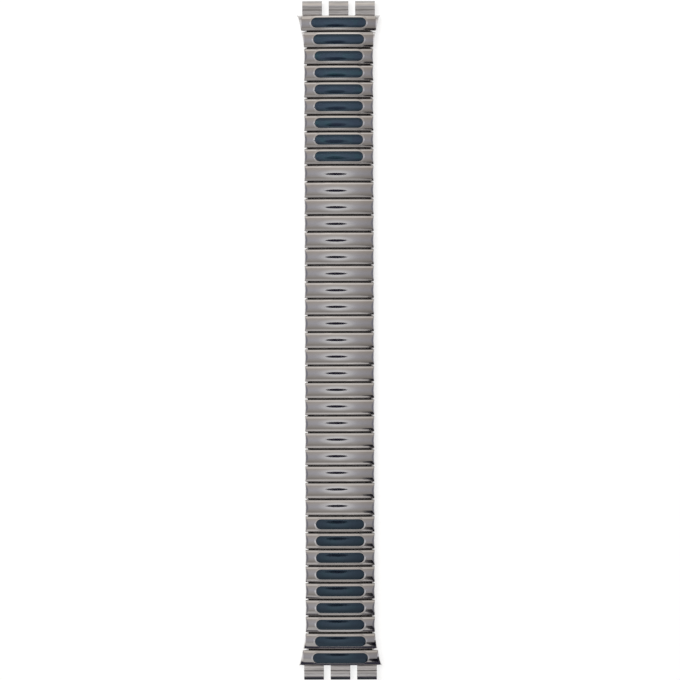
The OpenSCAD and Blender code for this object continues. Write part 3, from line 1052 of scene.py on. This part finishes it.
# The lug's steel carries the bands of painted shade
BRUSHED = steel("brushed_steel", (0.97, 0.945, 0.92), (0.83, 0.805, 0.785), 0.22, 0.14, 1.7, 0.6, 0.3,
                grain=0.8, shade_bands=LUG_SHADE_BANDS)
BOW = steel("bow_steel", (0.6, 0.59, 0.575), (0.5, 0.49, 0.48), 0.16, 0.1, 8.0, 0.8, 0.2, 6.0)
PALE_ENAMEL = enamel_material("teal_enamel", 1.0)
# The far end's enamel is the same enamel darkened to four tenths: painted shade
SHADED_FAR_ENAMEL = enamel_material("shaded_far_teal_enamel", 0.4)


# Placing the pieces

def link_name(i):
    from_end = MIDDLE - 1 - abs(MIDDLE - i)
    kind = "end" if from_end == 0 else "enamel" if from_end < ENAMELLED else "plain"
    return f"{kind}_link_{i:02d}"


def link_y(i):
    return (MIDDLE - i) * PITCH


def put(name, mesh, material, y, turned=False, own=False):
    """An object of a mesh at y along the band; turned puts it half round, for the far end or far side.

    A piece that moves between two bodies gets a mesh of its own.
    """
    if own:
        mesh = mesh.copy()
    made = add_object(name, mesh)
    if not mesh.materials:
        mesh.materials.append(material)
    made.location = (0, y * MM, 0)
    made.rotation_euler = (0, 0, math.pi if turned else 0)
    return made


def add_link(i):
    """Cap, enamel, upper sleeve and spring of a link, and the bracket of an end link."""
    body = link_name(i)
    far_end = i > MIDDLE
    is_end = i in (1, LINKS)
    y = link_y(i)
    enamelled = "enamelled" if body.startswith("enamel") else "plain"
    kind = "end" if is_end else "second" if i in (2, LINKS - 1) else enamelled
    cap = put(f"cap_{i:02d}", CAPS[kind], POLISHED, y, far_end)
    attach(cap, body)
    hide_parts(body)
    if kind != "plain":
        # The far end gets the enamel darkened as painted shade
        enamel = SHADED_FAR_ENAMEL if far_end else PALE_ENAMEL
        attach(put(f"enamel_{i:02d}", ENAMELS[kind + far_end * "_far"], enamel, y, far_end), body)
        rim = put(f"rim_{i:02d}", RIMS[kind + far_end * "_far"], RIM_HIGHLIGHT_STEEL, y, far_end)
        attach(rim, body)
    outward = -1 if far_end else 1
    row = "half" if is_end else "full"
    sleeve_y = y + outward * UPPER_OFFSET[row]
    sleeve = put(f"upper_sleeve_{i:02d}", UPPER_SLEEVES[row], ROLLED, sleeve_y, far_end)
    spring = put(f"upper_spring_{i:02d}", UPPER_SPRINGS[row], SPRING, sleeve_y, far_end)
    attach(sleeve, body)
    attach(spring, body)
    if is_end:
        bracket = put(f"bracket_{i:02d}", BRACKET, BRUSHED, y, far_end)
        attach(bracket, body)


def add_gap(g):
    """Lower sleeve, its spring and its four bows, between links g and g + 1.

    Where the gap stretches, each piece gets a mesh of its own with its place baked into it, and the
    expander's CAD part is hidden;
    elsewhere the pieces are attached to the neighbouring link nearer the middle.
    """
    towards_start = g < MIDDLE
    outward = 1 if towards_start else -1
    parent = link_name(g + 1 if towards_start else g)
    y = link_y(g) - PITCH / 2
    stretches = FIRST_STRETCH_GAP <= g <= LAST_STRETCH_GAP
    expander = f"expander_{g:02d}"
    sleeve = put(f"lower_sleeve_{g:02d}", LOWER_SLEEVE, ROLLED, y, own=stretches)
    spring = put(f"lower_spring_{g:02d}", LOWER_SPRING, SPRING, y, own=stretches)
    for piece in (sleeve, spring):
        if stretches:
            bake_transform(piece)
        else:
            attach(piece, parent)
    if stretches:
        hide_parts(expander)
    for place_name, along in (("near", -outward), ("far", outward)):
        for side_name, turned in (("right", False), ("left", True)):
            bow = put(f"bow_{g:02d}_{place_name}_{side_name}", BOW_STRIP, BOW, y + along * BOW_Y, turned,
                      own=stretches)
            if not stretches:
                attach(bow, parent)
            elif place_name == "near":
                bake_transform(bow)
            else:
                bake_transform(bow)


HALF_SLEEVE = UPPER_LEN / 2 + PLATE_Y - HALF_SLEEVE_PLAY
UPPER_OFFSET = {"full": 0, "half": (HALF_SLEEVE - UPPER_LEN) / 2}
CAPS = {
    "plain": cap_mesh(PLAIN_FORM),
    "enamelled": cap_mesh(PLAIN_FORM, ENAMEL_L),
    "second": cap_mesh(SECOND_FORM, SECOND_ENAMEL_L),
    "end": cap_mesh(END_FORM, END_ENAMEL_L, is_end=True),
}
# Each row: the enamel's length, and the rim's outward lean on +Y at the near end and at the far end
ENAMELLED_KINDS = {
    "enamelled": (ENAMEL_L, 0.34, 0.14),
    "second": (SECOND_ENAMEL_L, 0.45, 0.7),
    "end": (END_ENAMEL_L, 0.45, 0.65),
}
RIMS = {}
ENAMELS = {}
for kind, (length, near_lean, far_lean) in ENAMELLED_KINDS.items():
    RIMS[kind] = rim_mesh(length, (near_lean, 0.26, 0.022, 0.008))
    RIMS[kind + "_far"] = rim_mesh(length, (far_lean, 0.36, 0.008, 0.022))
    ENAMELS[kind] = enamel_mesh(length)
    ENAMELS[kind + "_far"] = ENAMELS[kind].copy()
UPPER_SLEEVES = {"full": sleeve_mesh(UPPER_LEN, True), "half": sleeve_mesh(HALF_SLEEVE, True)}
UPPER_SPRINGS = {"full": spring_mesh(UPPER_LEN, True), "half": spring_mesh(HALF_SLEEVE, True)}
LOWER_SLEEVE = sleeve_mesh(LOWER_LEN, False)
LOWER_SPRING = spring_mesh(LOWER_LEN, False)
BOW_STRIP = bow_mesh()
BRACKET = bracket_mesh()

for i in range(1, LINKS + 1):
    add_link(i)
for g in range(1, LINKS):
    add_gap(g)


# Studio

def sheet_object(name, corners, material):
    """A flat stage card through its corner points, in metres."""
    mesh = bpy.data.meshes.new(name)
    mesh.from_pydata(corners, [], [list(range(len(corners)))])
    mesh.materials.append(material)
    made = add_object(name, mesh)
    return made


def at_height(outline, z):
    return [(x, y, z) for x, y in outline]


def rectangle(low_x, low_y, high_x, high_y):
    return [(low_x, low_y), (high_x, low_y), (high_x, high_y), (low_x, high_y)]


def show_shader(tree, shader):
    """Puts a shader in the place of a material's first one."""
    tree.nodes.remove(tree.nodes["Principled BSDF"])
    tree.links.new(shader.outputs[0], tree.nodes["Material Output"].inputs["Surface"])


def floor_material():
    """Pale floor: white to the camera and in the metal, open from below, and it keeps the shadow."""
    material, tree, _ = new_material("pale_floor")
    paint = node(tree, "ShaderNodeBsdfDiffuse", {"Color": (0.97, 0.97, 0.97, 1)})
    white = node(tree, "ShaderNodeEmission", {"Color": (1, 1, 1, 1), "Strength": 1.0})
    path = node(tree, "ShaderNodeLightPath").outputs
    in_metal = plus(tree, path["Is Glossy Ray"], path["Is Transmission Ray"], clamp=True)
    place = node(tree, "ShaderNodeTexCoord").outputs["Object"]
    axes = node(tree, "ShaderNodeSeparateXYZ", {"Vector": place}).outputs
    outside = []
    for axis, half_size, sharpness in FLOOR_SHADE:
        past_edge = minus(tree, math_node(tree, "ABSOLUTE", axes[axis]), half_size)
        outside.append(times(tree, past_edge, sharpness, clamp=True))
    off_band = math_node(tree, "MAXIMUM", *outside)
    to_camera = times(tree, path["Is Camera Ray"], off_band)
    share = times(tree, plus(tree, to_camera, in_metal, clamp=True), FLOOR_WHITE)
    pale = node(tree, "ShaderNodeMixShader", {0: share, 1: paint.outputs[0], 2: white.outputs[0]})
    clear = node(tree, "ShaderNodeBsdfTransparent")
    below = node(tree, "ShaderNodeNewGeometry").outputs["Backfacing"]
    show_shader(tree, node(tree, "ShaderNodeMixShader", {0: below, 1: pale.outputs[0], 2: clear.outputs[0]}))
    return material


def glow_material(name, colour):
    material, tree, _ = new_material(name)
    show_shader(tree, node(tree, "ShaderNodeEmission", {"Color": (*colour, 1), "Strength": 1.0}))
    return material


def soft_glow_material(name, colour, centre, half_x, half_y):
    """A glow that fades out from its centre to the rim of its oval."""
    material, tree, _ = new_material(name)
    place = node(tree, "ShaderNodeTexCoord").outputs["Object"]
    centred = vector_node(tree, "SUBTRACT", place, (*centre, 0))
    scaled = vector_node(tree, "MULTIPLY", centred, (1 / half_x, 1 / half_y, 0))
    outward = node(tree, "ShaderNodeVectorMath", {0: scaled}, operation="LENGTH").outputs["Value"]
    share = ramp(tree, outward, [(0.15, grey(1)), (0.5, grey(0.62)), (0.8, grey(0.2)), (1.0, grey(0))])
    glow = node(tree, "ShaderNodeEmission", {"Color": (*colour, 1), "Strength": 1.0})
    clear = node(tree, "ShaderNodeBsdfTransparent")
    show_shader(tree, node(tree, "ShaderNodeMixShader", {0: share, 1: clear.outputs[0], 2: glow.outputs[0]}))
    return material


def metal_card(name, corners, material):
    """A stage card that nothing but the metal and the enamel sees."""
    card = sheet_object(name, corners, material)
    card.visible_camera = False
    card.visible_diffuse = False
    card.visible_shadow = False
    card.visible_transmission = False


def overhead_oval(name, centre_y, height, half_x, half_y, material, points=48):
    """Oval card over the band, level with the lens along X."""
    angles = [2 * math.pi * k / points for k in range(points)]
    outline = [(LENS_X + half_x * math.cos(a), centre_y + half_y * math.sin(a)) for a in angles]
    metal_card(name, at_height(outline, height), material)


# Each row: an axis, half the size along it on which the floor keeps the shadow, and how sharply that ends
FLOOR_SHADE = [("X", 0.0077, 2500.0), ("Y", 0.0755, 1700.0)]
FLOOR_WHITE = 0.75
FLOOR_HALF = 5.0
FLOOR_Z = -0.00003
sheet_object("floor", at_height(rectangle(-FLOOR_HALF, -FLOOR_HALF, FLOOR_HALF, FLOOR_HALF), FLOOR_Z),
             floor_material())

LENS_X = -0.0155
HALO_Y = 0.012
HALO_HALF = (0.100, 0.30)
overhead_oval("lens_card", 0.018, 0.600, 0.052, 0.072, glow_material("lens_black", (0.02, 0.02, 0.035)))
overhead_oval("halo_card", HALO_Y, 0.612, *HALO_HALF,
              soft_glow_material("halo_white", (0.99, 1.0, 1.03), (LENS_X, HALO_Y), *HALO_HALF))

END_Y = -0.084
card_black = glow_material("card_black", (0.05, 0.048, 0.07))
metal_card("front_card", at_height(rectangle(-0.5, -0.9, 0.5, -0.0797), 0.0004), card_black)
metal_card("end_card", [(x, END_Y, z) for x, z in rectangle(-0.08, 0.0005, 0.08, 0.0081)], card_black)
near_outline = [(-0.06, -0.0814), (-0.06, -0.110), (0.022, -0.110), (0.0135, -0.0814)]
metal_card("near_sheet", at_height(near_outline, 0.042), glow_material("sheet_white", (0.57, 0.56, 0.56)))

SIDE_Z = 0.193
# Each row: its place along the band, then where the side card's pale step, dark step and black begin
SIDE_ROWS = [(-0.110, 0.0405, 0.0465, 0.0540), (-0.135, 0.0420, 0.0480, 0.0555),
             (-0.158, 0.0440, 0.0500, 0.0570), (-0.190, 0.0515, 0.0560, 0.0595),
             (-0.230, 0.0585, 0.0610, 0.0635)]
SIDE_EDGE = [(0.0746, -0.42), (0.115, -0.45), (0.115, -0.575), (0.104, -0.59), (0.118, -0.764),
             (0.158, -0.983), (0.19, -1.2), (0.9, -1.2), (0.9, -0.110)]
SIDE_STEPS = [("side_pale", (0.14, 0.135, 0.14)), ("side_dark", (0.045, 0.043, 0.05))]
for step, (name, shade) in enumerate(SIDE_STEPS, 1):
    strip = [(row[step], row[0]) for row in SIDE_ROWS]
    strip += [(row[step + 1], row[0]) for row in reversed(SIDE_ROWS)]
    metal_card(name + "_card", at_height(strip, SIDE_Z), glow_material(name, shade))
side_outline = [(row[3], row[0]) for row in SIDE_ROWS] + SIDE_EDGE
metal_card("side_card", at_height(side_outline, SIDE_Z), glow_material("side_black", (0.006, 0.006, 0.012)))

# The sky's colours along the band, from beyond its lower end to beyond its upper end
SKY = [
    (0.0, (0.09, 0.08, 0.13)), (0.009, (0.14, 0.13, 0.18)), (0.0125, (0.45, 0.44, 0.46)),
    (0.0165, (0.86, 0.84, 0.83)), (0.022, (0.80, 0.78, 0.765)), (0.030, (0.57, 0.555, 0.55)),
    (0.040, (0.47, 0.46, 0.455)), (0.05, (0.52, 0.505, 0.50)), (0.12, (0.62, 0.595, 0.575)),
    (0.19, (0.68, 0.65, 0.62)), (0.238, (0.80, 0.765, 0.73)), (0.252, (0.37, 0.35, 0.335)),
    (0.30, (0.38, 0.36, 0.34)), (0.335, (0.45, 0.43, 0.41)), (0.38, (0.50, 0.485, 0.48)),
    (0.5, (0.57, 0.575, 0.63)), (0.60, (0.58, 0.57, 0.59)), (0.70, (0.58, 0.545, 0.515)),
    (0.78, (0.62, 0.57, 0.53)), (0.85, (0.86, 0.80, 0.73)), (0.92, (1.02, 0.965, 0.90)),
    (0.965, (0.83, 0.80, 0.76)), (1.0, (1.16, 1.12, 1.07)),
]
# What the sky keeps of them across the band, from -X to +X
ACROSS = [
    (0.0, (2.2, 2.2, 2.2)), (0.03, (1.6, 1.58, 1.56)), (0.062, (0.50, 0.50, 0.54)),
    (0.25, (0.60, 0.59, 0.59)), (0.38, (0.86, 0.85, 0.85)), (0.45, (0.97, 0.97, 0.98)), (0.5, (1, 1, 1)),
    (0.55, (0.95, 0.95, 0.96)), (0.59, (0.77, 0.755, 0.75)), (0.62, (0.70, 0.685, 0.68)),
    (0.75, (0.55, 0.54, 0.54)), (0.938, (0.45, 0.45, 0.50)), (0.968, (1.5, 1.48, 1.46)),
    (1.0, (2.2, 2.2, 2.2)),
]
BELOW_HORIZON = (0.8, 0.8, 0.8)


def build_world():
    """Soft studio: pale overhead, warm and bright beyond the upper end, grey beyond the lower end."""
    world = bpy.data.worlds.new("studio")
    bpy.context.scene.world = world
    world.use_nodes = True
    tree = world.node_tree
    direction = node(tree, "ShaderNodeTexCoord").outputs["Generated"]
    axes = node(tree, "ShaderNodeSeparateXYZ", {"Vector": direction}).outputs
    sky, kept = (ramp(tree, plus(tree, times(tree, axes[axis], 0.5), 0.5, clamp=True), stops)
                 for axis, stops in (("Y", SKY), ("X", ACROSS)))
    product = mix_colour(tree, 1.0, sky, kept, "MULTIPLY")
    up = times(tree, plus(tree, axes["Z"], 0.02), 12.0, clamp=True)
    whole = mix_colour(tree, up, BELOW_HORIZON, product)
    background = tree.nodes["Background"]
    tree.links.new(whole, background.inputs["Color"])
    background.inputs["Strength"].default_value = 1.0


build_world()

key_data = bpy.data.lights.new("soft_key", "AREA")
key_data.shape = "RECTANGLE"
key_data.size = 0.7
key_data.size_y = 0.5
key_data.energy = 9.5
key_data.color = (1.0, 0.985, 0.96)
key = add_object("soft_key", key_data)
key.location = (-0.25, 0.35, 0.9)
key.rotation_euler = (Vector((0, 0, 0)) - Vector(key.location)).to_track_quat("-Z", "Y").to_euler()
key.visible_glossy = False

# Camera: straight above, as in the photograph, with the band a sixth of a degree off upright
CAMERA_PLACE = (0.00011, 0.00008, 0.603)
CAMERA_TURN = math.radians(-0.17)
VIEW_DISTANCE = 0.600
VIEW_SPAN = 0.15893
SENSOR_W = 36.0
camera_data = bpy.data.cameras.new("camera")
camera_data.sensor_width = SENSOR_W
camera_data.lens = SENSOR_W * VIEW_DISTANCE / VIEW_SPAN
camera_data.clip_start = 0.01
camera_data.clip_end = 20.0
camera = add_object("camera", camera_data)
camera.location = CAMERA_PLACE
camera.rotation_euler = (0, 0, CAMERA_TURN)
bpy.context.scene.camera = camera

bpy.context.scene.view_settings.view_transform = "Standard"
